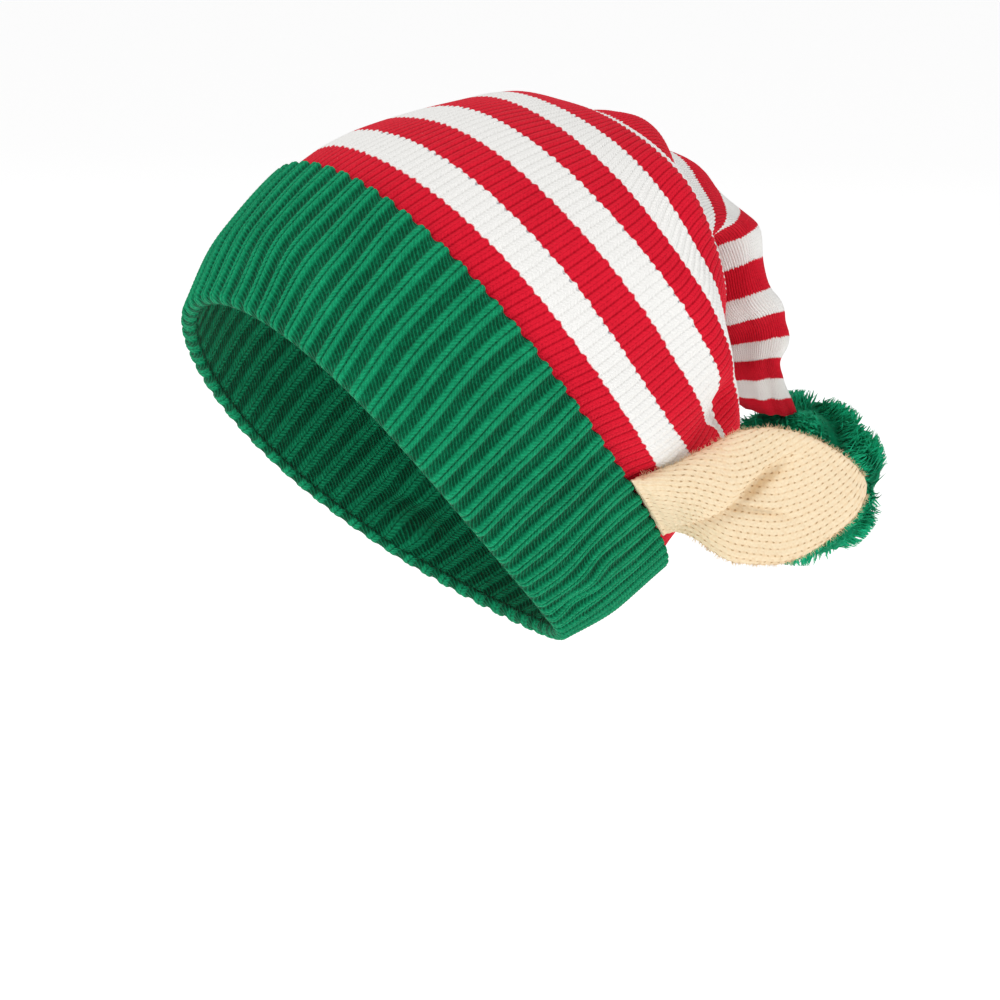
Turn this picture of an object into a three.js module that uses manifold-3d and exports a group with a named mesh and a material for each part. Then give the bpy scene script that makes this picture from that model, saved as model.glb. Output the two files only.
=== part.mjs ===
// Elf hat: a striped knitted stocking cap with a turned-up ribbed cuff, two knitted ears sewn in
// at the cuff's upper edge, and a pompom on the gathered tip of its hanging tail.
// Units are millimetres. +Z is up as the hat is worn, -Y is the forehead, +X the wearer's left.
// The origin is the middle of the opening at the cuff's rim.
import * as THREE from 'three';
import { mergeVertices } from 'three/addons/utils/BufferGeometryUtils.js';
import Module from 'manifold-3d';

// Driving sizes of the whole hat
const HEAD_DEPTH = 204; // forehead to nape, outside the rim
const HEAD_WIDTH = 190; // side to side at the widest knitted row
const REACH = 185; // from the middle of the rim back to the tip of the tail
const RISE = 141; // from the middle of the rim up to the top
const STRIPE_HEIGHT = 16; // one knitted stripe, measured along the fabric

// The cuff
const CUFF_HEIGHT = 67; // along the fabric, from the rim's fold to the free edge
const CUFF_THICKNESS = 6.4; // both layers of the turned-up band
const LIP_THICKNESS = 3; // the outer layer alone, where it covers the crown's edge
const LIP_LENGTH = 12; // how far the lip reaches over the crown's edge
const RIB_COUNT = 66;
const RIB_DEPTH = 1.3;

// The crown
const CROWN_WALL = 2.8;
const EDGE_BLEND = 20; // fabric length over which the crown comes out from under the lip
const TIP_CLOSE = 3; // depth of the gathered end of the tail

// The ears
const EAR_LENGTH = 81;
const EAR_HEIGHT = 52; // across the leaf at its widest
const EAR_THICKNESS = 5; // two layers of knit
const FLAP_LIFT = 7; // how far the folded upper flap stands before the lower sheet
const FLAP_EDGE = 2; // radius of the flap's rolled free edge
const EAR_AROUND = 114.5; // degrees round the cuff from the forehead
const EAR_PEEL = 30; // length over which the ear leaves the crown's surface

// The pompom
const POMPOM_RADIUS = 35;
const POMPOM_CORE = 25; // radius of the solid yarn core
const LOCK_RADIUS = 8;
const LOCK_COUNT = 36;
const TIP_SINK = 2; // how deep the tail's tip sits among the locks
const POMPOM_HANG = 62; // degrees below level from the tail's tip to the pompom's middle

// Between neighbouring pieces
const CLEARANCE = 0.45;

// Sections of the knitted form, from the rim to the tip. stripe counts knitted stripes from the rim's
// fold. lean is the section's tilt in degrees, 0 when it lies level. back and up place its middle, in
// REACH and RISE. depth and width are its half axes, in halves of HEAD_DEPTH and HEAD_WIDTH. egg widens
// its upper half and narrows its lower half. sag pulls its sides back towards the rim, in CUFF_HEIGHT.
// swing is its sideways place, in halves of HEAD_WIDTH.
const SECTIONS = [
  { stripe: 0.0, lean: 47, back: 0.0, up: 0.0, depth: 0.985, width: 0.92, egg: 0.15, sag: 0.16, swing: 0.0 },
  { stripe: 2.1, lean: 48, back: 0.124, up: 0.134, depth: 1.085, width: 0.965, egg: 0.18, sag: 0.16, swing: 0.0 },
  { stripe: 4.2, lean: 50, back: 0.25, up: 0.259, depth: 1.105, width: 0.98, egg: 0.19, sag: 0.16, swing: 0.0 },
  { stripe: 5.2, lean: 51, back: 0.308, up: 0.3, depth: 1.07, width: 0.99, egg: 0.17, sag: 0.15, swing: 0.0 },
  { stripe: 6.2, lean: 52, back: 0.367, up: 0.352, depth: 1.03, width: 1.0, egg: 0.14, sag: 0.15, swing: 0.0 },
  { stripe: 7.2, lean: 53, back: 0.427, up: 0.403, depth: 0.98, width: 1.0, egg: 0.12, sag: 0.12, swing: 0.0 },
  { stripe: 8.2, lean: 54, back: 0.481, up: 0.46, depth: 0.91, width: 1.0, egg: 0.1, sag: 0.11, swing: 0.0 },
  { stripe: 9.2, lean: 56, back: 0.532, up: 0.51, depth: 0.825, width: 0.99, egg: 0.13, sag: 0.16, swing: 0.0 },
  { stripe: 10.2, lean: 59, back: 0.561, up: 0.558, depth: 0.72, width: 0.95, egg: 0.25, sag: 0.18, swing: -0.01 },
  { stripe: 11.2, lean: 64, back: 0.584, up: 0.593, depth: 0.605, width: 0.9, egg: 0.31, sag: 0.15, swing: -0.01 },
  { stripe: 12.2, lean: 72, back: 0.613, up: 0.624, depth: 0.48, width: 0.69, egg: 0.22, sag: 0.09, swing: -0.01 },
  { stripe: 13.2, lean: 81, back: 0.642, up: 0.645, depth: 0.355, width: 0.56, egg: 0.12, sag: 0.06, swing: -0.01 },
  { stripe: 14.2, lean: 96, back: 0.673, up: 0.65, depth: 0.24, width: 0.485, egg: 0.05, sag: 0.05, swing: -0.01 },
  { stripe: 15.2, lean: 122, back: 0.706, up: 0.643, depth: 0.165, width: 0.455, egg: 0.0, sag: 0.06, swing: -0.01 },
  { stripe: 16.2, lean: 150, back: 0.743, up: 0.62, depth: 0.15, width: 0.44, egg: -0.05, sag: 0.09, swing: -0.02 },
  { stripe: 17.2, lean: 163, back: 0.777, up: 0.575, depth: 0.162, width: 0.42, egg: -0.06, sag: 0.09, swing: -0.03 },
  { stripe: 18.2, lean: 167, back: 0.804, up: 0.49, depth: 0.164, width: 0.405, egg: -0.05, sag: 0.09, swing: -0.03 },
  { stripe: 19.2, lean: 171, back: 0.825, up: 0.395, depth: 0.155, width: 0.39, egg: -0.04, sag: 0.11, swing: -0.03 },
  { stripe: 20.2, lean: 174, back: 0.865, up: 0.326, depth: 0.162, width: 0.385, egg: -0.02, sag: 0.11, swing: -0.03 },
  { stripe: 21.2, lean: 176, back: 0.884, up: 0.267, depth: 0.146, width: 0.36, egg: 0.0, sag: 0.08, swing: -0.03 },
  { stripe: 22.2, lean: 180, back: 0.884, up: 0.207, depth: 0.105, width: 0.325, egg: 0.0, sag: 0.07, swing: -0.03 },
  { stripe: 23.2, lean: 181, back: 0.906, up: 0.15, depth: 0.1, width: 0.28, egg: 0.0, sag: 0.05, swing: -0.02 },
  { stripe: 24.2, lean: 181, back: 0.946, up: 0.092, depth: 0.1, width: 0.21, egg: 0.0, sag: 0.02, swing: -0.01 },
  { stripe: 25.2, lean: 178, back: 0.985, up: 0.045, depth: 0.085, width: 0.14, egg: 0.0, sag: 0.0, swing: 0.0 },
];

// Dents and tucks of the fabric, the same on both sides. stripe and around (degrees from the forehead)
// place the middle of each, along and spread are its half lengths in stripes and degrees, and depth is
// how far it presses inwards, in CUFF_HEIGHT.
const DENTS = [
  { stripe: 8.3, around: 112, along: 0.7, spread: 7, depth: 0.1 }, // dimple above the ear
  { stripe: 11.2, around: 122, along: 1.1, spread: 16, depth: 0.15 }, // where the tail is pinched off
  { stripe: 12.9, around: 50, along: 1.1, spread: 26, depth: 0.15 }, // valley behind the ridge at the top
  { stripe: 9.0, around: 96, along: 0.8, spread: 12, depth: -0.02 }, // swelling before the dimple
  { stripe: 0.9, around: 128, along: 0.5, spread: 5, depth: 0.035 }, // buckled ribs at the cuff's corner
  { stripe: 1.6, around: 121, along: 0.5, spread: 5, depth: -0.025 },
];

// Outline of an ear, from its root to its tip. along is in EAR_LENGTH, top, bottom and fold in
// EAR_HEIGHT above the middle line, and lift in FLAP_LIFT: how far the folded flap stands out.
const EAR_SECTIONS = [
  { along: 0.0, top: 0.32, bottom: -0.47, fold: -0.27, lift: 0.15 },
  { along: 0.09, top: 0.29, bottom: -0.4, fold: -0.22, lift: 0.6 },
  { along: 0.18, top: 0.305, bottom: -0.37, fold: -0.16, lift: 0.95 },
  { along: 0.27, top: 0.375, bottom: -0.41, fold: -0.09, lift: 1.0 },
  { along: 0.36, top: 0.45, bottom: -0.445, fold: 0.01, lift: 1.0 },
  { along: 0.46, top: 0.498, bottom: -0.475, fold: 0.135, lift: 0.8 },
  { along: 0.56, top: 0.5, bottom: -0.49, fold: 0.24, lift: 0.4 },
  { along: 0.66, top: 0.465, bottom: -0.46, fold: 0.3, lift: 0.1 },
  { along: 0.77, top: 0.395, bottom: -0.385, fold: 0.26, lift: 0.0 },
  { along: 0.88, top: 0.28, bottom: -0.28, fold: 0.16, lift: 0.0 },
  { along: 0.95, top: 0.18, bottom: -0.19, fold: 0.08, lift: 0.0 },
  { along: 1.0, top: 0.07, bottom: -0.07, fold: 0.02, lift: 0.0 },
];

// A lock of the pompom, from inside the core to its tip. out is in POMPOM_RADIUS, wide and curl in
// LOCK_RADIUS.
const LOCK_ROWS = [
  { out: 0.5, wide: 0.8, curl: 0.0 },
  { out: 0.84, wide: 1.0, curl: 0.1 },
  { out: 1.0, wide: 0.55, curl: 0.45 },
];

// Steps of the angles that turn each lock's bend, so that no two neighbours bend alike
const LOCK_TURNS = [2.3, 3.7, 1.1];

// How finely the solids are meshed
const CUFF_ROWS = 4;
const FOLD_ANGLE = Math.PI / 4; // where the rim's round fold has its one row between edge and side
const CROWN_AROUND = 40;
const BODY_ROWS = 6;
const BODY_END = 8.2; // the stripe where the crown's body starts to fall in
const EAR_ROWS = 14;

const RAD = Math.PI / 180;
const CUFF_TOP = CUFF_HEIGHT / STRIPE_HEIGHT;
const SEAM_AT = (CUFF_HEIGHT - LIP_LENGTH) / STRIPE_HEIGHT;
const TIP_AT = SECTIONS[SECTIONS.length - 1].stripe;

// A smooth curve through one column of a table, without overshoot between its rows
function columnAt(rows, key, column, at) {
  const last = rows.length - 2;
  const found = rows.findIndex((row, i) => i > 0 && at <= row[key]);
  const i = found < 0 ? last : found - 1;
  const secant = (j) => (rows[j + 1][column] - rows[j][column]) / (rows[j + 1][key] - rows[j][key]);
  const slope = (j) => {
    if (j === 0) return secant(0);
    if (j === rows.length - 1) return secant(j - 1);
    const before = secant(j - 1);
    const after = secant(j);
    return before * after <= 0 ? 0 : (2 * before * after) / (before + after);
  };
  const step = rows[i + 1][key] - rows[i][key];
  const t = (at - rows[i][key]) / step;
  const here = rows[i][column];
  if (t < 0) return here + secant(0) * step * t;
  if (t > 1) return rows[i + 1][column] + secant(last) * step * (t - 1);
  return (
    here * (1 + 2 * t) * (1 - t) ** 2 +
    rows[i + 1][column] * t * t * (3 - 2 * t) +
    slope(i) * step * t * (1 - t) ** 2 -
    slope(i + 1) * step * t * t * (1 - t)
  );
}

const smoothstep = (t) => {
  const held = Math.min(Math.max(t, 0), 1);
  return held * held * (3 - 2 * held);
};

// How far the dents press in at one place of the form
function dentDepth(stripe, angle) {
  const around = Math.abs(((angle / RAD + 540) % 360) - 180);
  return DENTS.reduce((sum, dent) => {
    const far = ((stripe - dent.stripe) / dent.along) ** 2 + ((around - dent.around) / dent.spread) ** 2;
    return sum + dent.depth * CUFF_HEIGHT * Math.exp(-far);
  }, 0);
}

// The point of the knitted form at a row and an angle round it, pressed inwards by depth. Angle 0 is the
// forehead and the top, a quarter turn is the wearer's left, a half turn the nape and the tail's inside.
function formPoint(stripe, angle, depth) {
  const at = (column) => columnAt(SECTIONS, 'stripe', column, stripe);
  const lean = at('lean') * RAD;
  const sine = Math.sin(angle);
  const cosine = Math.cos(angle);
  const sag = at('sag') * CUFF_HEIGHT * sine * sine;
  const reach = new THREE.Vector3(
    (at('width') * HEAD_WIDTH * sine * (1 + at('egg') * cosine)) / 2,
    (-at('depth') * HEAD_DEPTH * cosine * Math.cos(lean)) / 2,
    (at('depth') * HEAD_DEPTH * cosine * Math.sin(lean)) / 2
  );
  const pressed = depth + dentDepth(stripe, angle);
  reach.setLength(reach.length() - pressed);
  const middle = new THREE.Vector3(
    (at('swing') * HEAD_WIDTH) / 2,
    at('back') * REACH - sag * Math.sin(lean),
    at('up') * RISE - sag * Math.cos(lean)
  );
  return middle.add(reach);
}

// A list of count + 1 even steps from one value to another
const steps = (from, to, count) =>
  Array.from({ length: count + 1 }, (_, i) => from + ((to - from) * i) / count);

// One ring of the form's points at a row, each pressed inwards by its own depth
const ring = (stripe, depthAt, count) =>
  steps(0, 2 * Math.PI * (1 - 1 / count), count - 1).map((angle, i) =>
    formPoint(stripe, angle, depthAt(i))
  );

// The ring drawn together in its middle, which closes a skin there
function gathered(points) {
  const middle = points.reduce((sum, p) => sum.add(p), new THREE.Vector3()).divideScalar(points.length);
  return points.map(() => middle);
}

// The closed skin through rings of points, the last joined to the first
function skin(rings) {
  const size = rings[0].length;
  const index = [];
  rings.forEach((_, i) => {
    const a = i * size;
    const b = ((i + 1) % rings.length) * size;
    for (let j = 0; j < size; j++) {
      const k = (j + 1) % size;
      index.push(a + j, a + k, b + k, a + j, b + k, b + j);
    }
  });
  const positions = rings.flat().flatMap((p) => [p.x, p.y, p.z]);
  const geometry = new THREE.BufferGeometry();
  geometry.setAttribute('position', new THREE.Float32BufferAttribute(positions, 3));
  geometry.setIndex(index);
  const merged = mergeVertices(geometry);
  const kept = [];
  for (let i = 0; i < merged.index.count; i += 3) {
    const [a, b, c] = [0, 1, 2].map((j) => merged.index.getX(i + j));
    if (a !== b && b !== c && a !== c) kept.push(a, b, c);
  }
  merged.setIndex(kept);
  return merged;
}

// The cuff: up its outside from the rim, over the lip, down behind it to the seam, and down its inside.
// Every second point round is a valley between two ribs, half as deep on the inside. grow swells the
// outside, for the space that the neighbours keep clear.
function cuffGeometry(grow) {
  const count = 2 * RIB_COUNT;
  const valley = (i) => (i % 2 ? RIB_DEPTH : 0);
  const fold = CUFF_THICKNESS / 2 / STRIPE_HEIGHT;
  const edge = (LIP_THICKNESS / 2 - grow) / STRIPE_HEIGHT;
  const top = CUFF_TOP + grow / STRIPE_HEIGHT;
  const shoulder = fold * (1 - Math.cos(FOLD_ANGLE));
  const tuck = (CUFF_THICKNESS / 2) * (1 - Math.sin(FOLD_ANGLE));
  return skin([
    ring(0, () => CUFF_THICKNESS / 2, count),
    ring(shoulder, (i) => tuck + valley(i) - grow, count),
    ...steps(fold, top - edge, CUFF_ROWS).map((stripe) => ring(stripe, (i) => valley(i) - grow, count)),
    ring(top, (i) => LIP_THICKNESS / 3 + valley(i) / 2 - grow, count),
    ring(top, () => LIP_THICKNESS, count),
    ring(SEAM_AT, () => LIP_THICKNESS, count),
    ring(SEAM_AT, () => CUFF_THICKNESS, count),
    ...steps(SEAM_AT - edge, fold, CUFF_ROWS / 2).map((stripe) =>
      ring(stripe, (i) => CUFF_THICKNESS - valley(i) / 2, count)
    ),
    ring(shoulder, (i) => CUFF_THICKNESS - tuck - valley(i) / 2, count),
  ]);
}

// How deep the crown's outer face lies inside the form: under the lip, then coming out to the surface
const underLip = (stripe) =>
  (LIP_THICKNESS + CLEARANCE) *
  (1 - smoothstep(((stripe - CUFF_TOP) * STRIPE_HEIGHT) / EDGE_BLEND));

const CROWN_START = SEAM_AT + CLEARANCE / STRIPE_HEIGHT;
const CROWN_END = TIP_AT + TIP_CLOSE / STRIPE_HEIGHT;
const crownRing = (stripe, depth) => ring(stripe, () => underLip(stripe) + depth, CROWN_AROUND);

// Rows of the crown: wide steps over the body, then each table row along the tail, with one more
// between every two of them where the mesh is fine
function crownRows(fine) {
  const tail = SECTIONS.map((row) => row.stripe).filter((stripe) => stripe > BODY_END);
  const between = fine ? tail.slice(1).map((stripe, i) => (stripe + tail[i]) / 2) : [];
  return [...steps(CROWN_START, BODY_END, BODY_ROWS), ...tail, ...between].sort((a, b) => a - b);
}

// The crown: up its outside to the gathered tip, and back down its inside
function crownGeometry() {
  const outside = crownRows(true).map((row) => crownRing(row, 0));
  const inside = crownRows(false).map((row) => crownRing(row, CROWN_WALL)).reverse();
  return skin([
    ...outside,
    gathered(crownRing(CROWN_END, 0)),
    gathered(crownRing(TIP_AT - CROWN_WALL / STRIPE_HEIGHT, 0)),
    ...inside.slice(1),
  ]);
}

// The space that the crown fills, grown by the clearance, which its neighbours are cut back to
function crownSpace() {
  const outside = crownRows(true).map((row) => crownRing(row, -CLEARANCE));
  const beyond = CROWN_END + CLEARANCE / STRIPE_HEIGHT;
  return skin([gathered(outside[0]), ...outside, gathered(crownRing(beyond, 0))]);
}

// The left ear's directions: from root to tip, up its width, and out of its face
const EAR_TOWARDS = new THREE.Vector3(0.47, 0.87, 0.11).normalize();
const EAR_FACING = new THREE.Vector3(0.86, -0.47, 0.15);
const EAR_UP = new THREE.Vector3().crossVectors(EAR_FACING, EAR_TOWARDS).normalize();
const EAR_OUT = new THREE.Vector3().crossVectors(EAR_TOWARDS, EAR_UP);

// A point of the left ear: along it from its root, up its width and out of its face. At the root it
// lies on the crown beside the cuff's lip, and it peels off into a flat leaf.
function earPoint(along, up, out) {
  const stripe = CUFF_TOP + (CLEARANCE + along) / STRIPE_HEIGHT;
  const angle = EAR_AROUND * RAD - (2 * up) / HEAD_DEPTH;
  const above = CLEARANCE + EAR_THICKNESS / 2 + out - underLip(stripe);
  const onCrown = formPoint(stripe, angle, -above);
  const leaf = formPoint(CUFF_TOP, EAR_AROUND * RAD, -EAR_THICKNESS / 2)
    .addScaledVector(EAR_TOWARDS, along)
    .addScaledVector(EAR_UP, up)
    .addScaledVector(EAR_OUT, out);
  return onCrown.lerp(leaf, smoothstep(along / EAR_PEEL));
}

// One section of the left ear: up the lower sheet, round the free edge of the flap that folds over it,
// up the flap to the top edge, and down the back
function earRing(along) {
  const at = (column) => columnAt(EAR_SECTIONS, 'along', column, along);
  const [top, bottom, fold] = ['top', 'bottom', 'fold'].map((column) => at(column) * EAR_HEIGHT);
  const lift = at('lift');
  const half = (EAR_THICKNESS / 2) * Math.sqrt(Math.max(1.04 - along ** 6, 0.04));
  const rise = lift * FLAP_LIFT;
  const mix = THREE.MathUtils.lerp;
  const section = [
    [bottom, 0],
    [mix(bottom, fold, 0.12), half * 0.8],
    [mix(bottom, fold, 0.5), half],
    [fold + FLAP_EDGE * (1.6 * lift - 0.6), half],
    [fold - FLAP_EDGE * 0.6 * lift, half + rise * 0.45],
    [fold + FLAP_EDGE * (0.6 + 0.6 * lift), half + rise],
    [mix(fold, top, 0.4), half + rise],
    [mix(fold, top, 0.75), half + rise * 0.7],
    [mix(fold, top, 0.95), half * 0.7 + rise * 0.35],
    [top, 0],
    [mix(top, bottom, 0.06), -half * 0.8],
    [mix(top, bottom, 0.35), -half],
    [mix(top, bottom, 0.7), -half],
    [mix(top, bottom, 0.95), -half * 0.8],
  ];
  return section.map(([up, out]) => earPoint(along * EAR_LENGTH, up, out));
}

function earGeometry(side) {
  const rings = steps(0, 1, EAR_ROWS).map(earRing);
  const tip = gathered(rings[EAR_ROWS]).map((p) =>
    p.clone().addScaledVector(EAR_TOWARDS, EAR_THICKNESS / 2)
  );
  const left = [gathered(rings[0]), ...rings, tip];
  if (side > 0) return skin(left.map((points) => points.slice().reverse()));
  return skin(left.map((points) => points.map((p) => new THREE.Vector3(-p.x, p.y, p.z))));
}

// The pompom's middle lies below the tail's tip
function pompomCentre() {
  const tip = gathered(crownRing(TIP_AT, 0))[0];
  const hang = new THREE.Vector3(0, Math.cos(POMPOM_HANG * RAD), -Math.sin(POMPOM_HANG * RAD));
  return tip.addScaledVector(hang, POMPOM_RADIUS - TIP_SINK);
}

// One lock of yarn: a tapering five-sided tuft along its direction, bent a little to one side
function lockGeometry(direction, bend) {
  const side = new THREE.Vector3().crossVectors(direction, bend).normalize();
  const up = new THREE.Vector3().crossVectors(direction, side);
  const rings = LOCK_ROWS.map(({ out, wide, curl }) => {
    const middle = direction.clone().multiplyScalar(out * POMPOM_RADIUS);
    middle.addScaledVector(up, curl * LOCK_RADIUS);
    return steps(0, 2 * Math.PI * 0.8, 4).map((angle) =>
      middle
        .clone()
        .addScaledVector(side, wide * LOCK_RADIUS * Math.cos(angle))
        .addScaledVector(up, wide * LOCK_RADIUS * Math.sin(angle))
    );
  });
  return skin([gathered(rings[0]), ...rings, gathered(rings[rings.length - 1])]);
}

const wasm = await Module();
wasm.setup();

// A closed geometry as a solid for joining and cutting, and back again
function solidOf(geometry) {
  const bare = new THREE.BufferGeometry();
  bare.setAttribute('position', geometry.getAttribute('position'));
  bare.setIndex(geometry.index);
  const merged = mergeVertices(bare);
  const vertProperties = new Float32Array(merged.getAttribute('position').array);
  const triVerts = new Uint32Array(merged.index.array);
  return new wasm.Manifold(new wasm.Mesh({ numProp: 3, vertProperties, triVerts }));
}

function geometryOf(solid) {
  const mesh = solid.getMesh();
  const geometry = new THREE.BufferGeometry();
  geometry.setAttribute('position', new THREE.BufferAttribute(mesh.vertProperties, 3));
  geometry.setIndex(new THREE.BufferAttribute(mesh.triVerts, 1));
  return geometry;
}

// The locks stand evenly all round on a golden spiral, each bent its own way
function pompomSolid() {
  const core = new THREE.IcosahedronGeometry(POMPOM_CORE, 2);
  core.deleteAttribute('normal');
  core.deleteAttribute('uv');
  let ball = solidOf(mergeVertices(core));
  const golden = Math.PI * (3 - Math.sqrt(5));
  for (let i = 0; i < LOCK_COUNT; i++) {
    const up = 1 - (2 * i + 1) / LOCK_COUNT;
    const out = Math.sqrt(1 - up * up);
    const direction = new THREE.Vector3(out * Math.cos(i * golden), out * Math.sin(i * golden), up);
    const bend = new THREE.Vector3(...LOCK_TURNS.map((turn) => Math.sin(i * turn)));
    ball = ball.add(solidOf(lockGeometry(direction, bend)));
  }
  return ball.translate(...pompomCentre().toArray());
}

const greenRib = new THREE.MeshStandardMaterial({ color: 0x12925f, roughness: 0.95, metalness: 0 });
const stripedKnit = new THREE.MeshStandardMaterial({ color: 0xd8203a, roughness: 0.95, metalness: 0 });
const beigeKnit = new THREE.MeshStandardMaterial({ color: 0xf2dcb8, roughness: 0.95, metalness: 0 });
const greenYarn = new THREE.MeshStandardMaterial({ color: 0x0f8a58, roughness: 0.95, metalness: 0 });

const hat = new THREE.Group();

function addPiece(name, geometry, material) {
  const piece = new THREE.Mesh(geometry, material);
  piece.name = name;
  hat.add(piece);
}

const crownTaken = solidOf(crownSpace());
const cuffTaken = solidOf(cuffGeometry(CLEARANCE));
const clearOf = (geometry) => solidOf(geometry).subtract(crownTaken).subtract(cuffTaken);

addPiece('cuff', cuffGeometry(0), greenRib);
addPiece('crown', crownGeometry(), stripedKnit);
addPiece('ear_left', geometryOf(clearOf(earGeometry(1))), beigeKnit);
addPiece('ear_right', geometryOf(clearOf(earGeometry(-1))), beigeKnit);
addPiece('pompom', geometryOf(pompomSolid().subtract(crownTaken)), greenYarn);

export default hat;
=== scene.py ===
"""The knitted elf hat, dressed: ribbed turned-up cuff, striped crown with its hanging tail, two ears and
a yarn pompom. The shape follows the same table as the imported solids, in millimetres, and is written to
the meshes in metres. +Z is up as worn, -Y the forehead, +X the wearer's left."""

import math

import bpy
import numpy as np
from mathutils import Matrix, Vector


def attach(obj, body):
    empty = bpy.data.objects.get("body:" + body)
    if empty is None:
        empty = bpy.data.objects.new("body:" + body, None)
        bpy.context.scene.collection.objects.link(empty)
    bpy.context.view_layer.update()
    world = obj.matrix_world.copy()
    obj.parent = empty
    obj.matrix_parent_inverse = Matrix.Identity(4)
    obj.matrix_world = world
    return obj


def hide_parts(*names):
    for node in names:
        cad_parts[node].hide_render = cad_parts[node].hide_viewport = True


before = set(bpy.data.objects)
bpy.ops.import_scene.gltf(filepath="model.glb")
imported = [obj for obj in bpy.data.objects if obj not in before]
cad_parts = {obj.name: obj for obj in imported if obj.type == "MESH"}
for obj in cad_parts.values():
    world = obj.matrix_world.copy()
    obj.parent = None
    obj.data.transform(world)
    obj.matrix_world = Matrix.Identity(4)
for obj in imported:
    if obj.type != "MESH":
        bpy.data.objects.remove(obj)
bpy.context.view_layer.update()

MM = 0.001
TAU = 2 * math.pi
SMALL = 1e-9  # keeps a division by a length of 0 from failing

# Sizes of the hat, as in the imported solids
HEAD_DEPTH = 204
HEAD_WIDTH = 190
REACH = 185
RISE = 141
STRIPE_HEIGHT = 16
CUFF_HEIGHT = 67
CUFF_THICKNESS = 6.4
LIP_THICKNESS = 3
LIP_LENGTH = 12
RIB_COUNT = 66
CROWN_WALL = 2.8
EDGE_BLEND = 20
TIP_CLOSE = 3
EAR_LENGTH = 81
EAR_HEIGHT = 52
EAR_THICKNESS = 5
FLAP_LIFT = 7
FLAP_EDGE = 2
EAR_AROUND = 114.5
EAR_PEEL = 30
POMPOM_RADIUS = 35
TIP_SINK = 2
POMPOM_HANG = 62
CLEARANCE = 0.45

CUFF_TOP = CUFF_HEIGHT / STRIPE_HEIGHT
SEAM_AT = (CUFF_HEIGHT - LIP_LENGTH) / STRIPE_HEIGHT

# The knitted form, from the rim to the tip, as shares of the sizes above
FORM_COLUMNS = ("stripe", "lean", "back", "up", "depth", "width", "egg", "sag", "swing")
FORM_ROWS = np.array([
    (0.0, 47, 0.0, 0.0, 0.985, 0.92, 0.15, 0.16, 0.0),
    (2.1, 48, 0.124, 0.134, 1.085, 0.965, 0.18, 0.16, 0.0),
    (4.2, 50, 0.25, 0.259, 1.105, 0.98, 0.19, 0.16, 0.0),
    (5.2, 51, 0.308, 0.3, 1.07, 0.99, 0.17, 0.15, 0.0),
    (6.2, 52, 0.367, 0.352, 1.03, 1.0, 0.14, 0.15, 0.0),
    (7.2, 53, 0.427, 0.403, 0.98, 1.0, 0.12, 0.12, 0.0),
    (8.2, 54, 0.481, 0.46, 0.91, 1.0, 0.1, 0.11, 0.0),
    (9.2, 56, 0.532, 0.51, 0.825, 0.99, 0.13, 0.16, 0.0),
    (10.2, 59, 0.561, 0.558, 0.72, 0.95, 0.25, 0.18, -0.01),
    (11.2, 64, 0.584, 0.593, 0.605, 0.9, 0.31, 0.15, -0.01),
    (12.2, 72, 0.613, 0.624, 0.48, 0.69, 0.22, 0.09, -0.01),
    (13.2, 81, 0.642, 0.645, 0.355, 0.56, 0.12, 0.06, -0.01),
    (14.2, 96, 0.673, 0.65, 0.24, 0.485, 0.05, 0.05, -0.01),
    (15.2, 122, 0.706, 0.643, 0.165, 0.455, 0.0, 0.06, -0.01),
    (16.2, 150, 0.743, 0.62, 0.15, 0.44, -0.05, 0.09, -0.02),
    (17.2, 163, 0.777, 0.575, 0.162, 0.42, -0.06, 0.09, -0.03),
    (18.2, 167, 0.804, 0.49, 0.164, 0.405, -0.05, 0.09, -0.03),
    (19.2, 171, 0.825, 0.395, 0.155, 0.39, -0.04, 0.11, -0.03),
    (20.2, 174, 0.865, 0.326, 0.162, 0.385, -0.02, 0.11, -0.03),
    (21.2, 176, 0.884, 0.267, 0.146, 0.36, 0.0, 0.08, -0.03),
    (22.2, 180, 0.884, 0.207, 0.105, 0.325, 0.0, 0.07, -0.03),
    (23.2, 181, 0.906, 0.15, 0.1, 0.28, 0.0, 0.05, -0.02),
    (24.2, 181, 0.946, 0.092, 0.1, 0.21, 0.0, 0.02, -0.01),
    (25.2, 178, 0.985, 0.045, 0.085, 0.14, 0.0, 0.0, 0.0),
])
TIP_AT = FORM_ROWS[-1, 0]

# Dents and tucks: stripe, degrees from the forehead, half lengths in stripes and in degrees, and the
# depth as a share of CUFF_HEIGHT
DENTS = (
    (8.3, 112, 0.7, 7, 0.1),
    (11.2, 122, 1.1, 16, 0.15),
    (12.9, 50, 1.1, 26, 0.15),
    (9.0, 96, 0.8, 12, -0.02),
    (0.9, 128, 0.5, 5, 0.035),
    (1.6, 121, 0.5, 5, -0.025),
)

# Outline of an ear from root to tip: along, top, bottom, fold, lift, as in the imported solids
EAR_ROWS = np.array([
    (0.0, 0.32, -0.47, -0.27, 0.15),
    (0.09, 0.29, -0.4, -0.22, 0.6),
    (0.18, 0.305, -0.37, -0.16, 0.95),
    (0.27, 0.375, -0.41, -0.09, 1.0),
    (0.36, 0.45, -0.445, 0.01, 1.0),
    (0.46, 0.498, -0.475, 0.135, 0.8),
    (0.56, 0.5, -0.49, 0.24, 0.4),
    (0.66, 0.465, -0.46, 0.3, 0.1),
    (0.77, 0.395, -0.385, 0.26, 0.0),
    (0.88, 0.28, -0.28, 0.16, 0.0),
    (0.95, 0.18, -0.19, 0.08, 0.0),
    (1.0, 0.07, -0.07, 0.02, 0.0),
])


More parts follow.
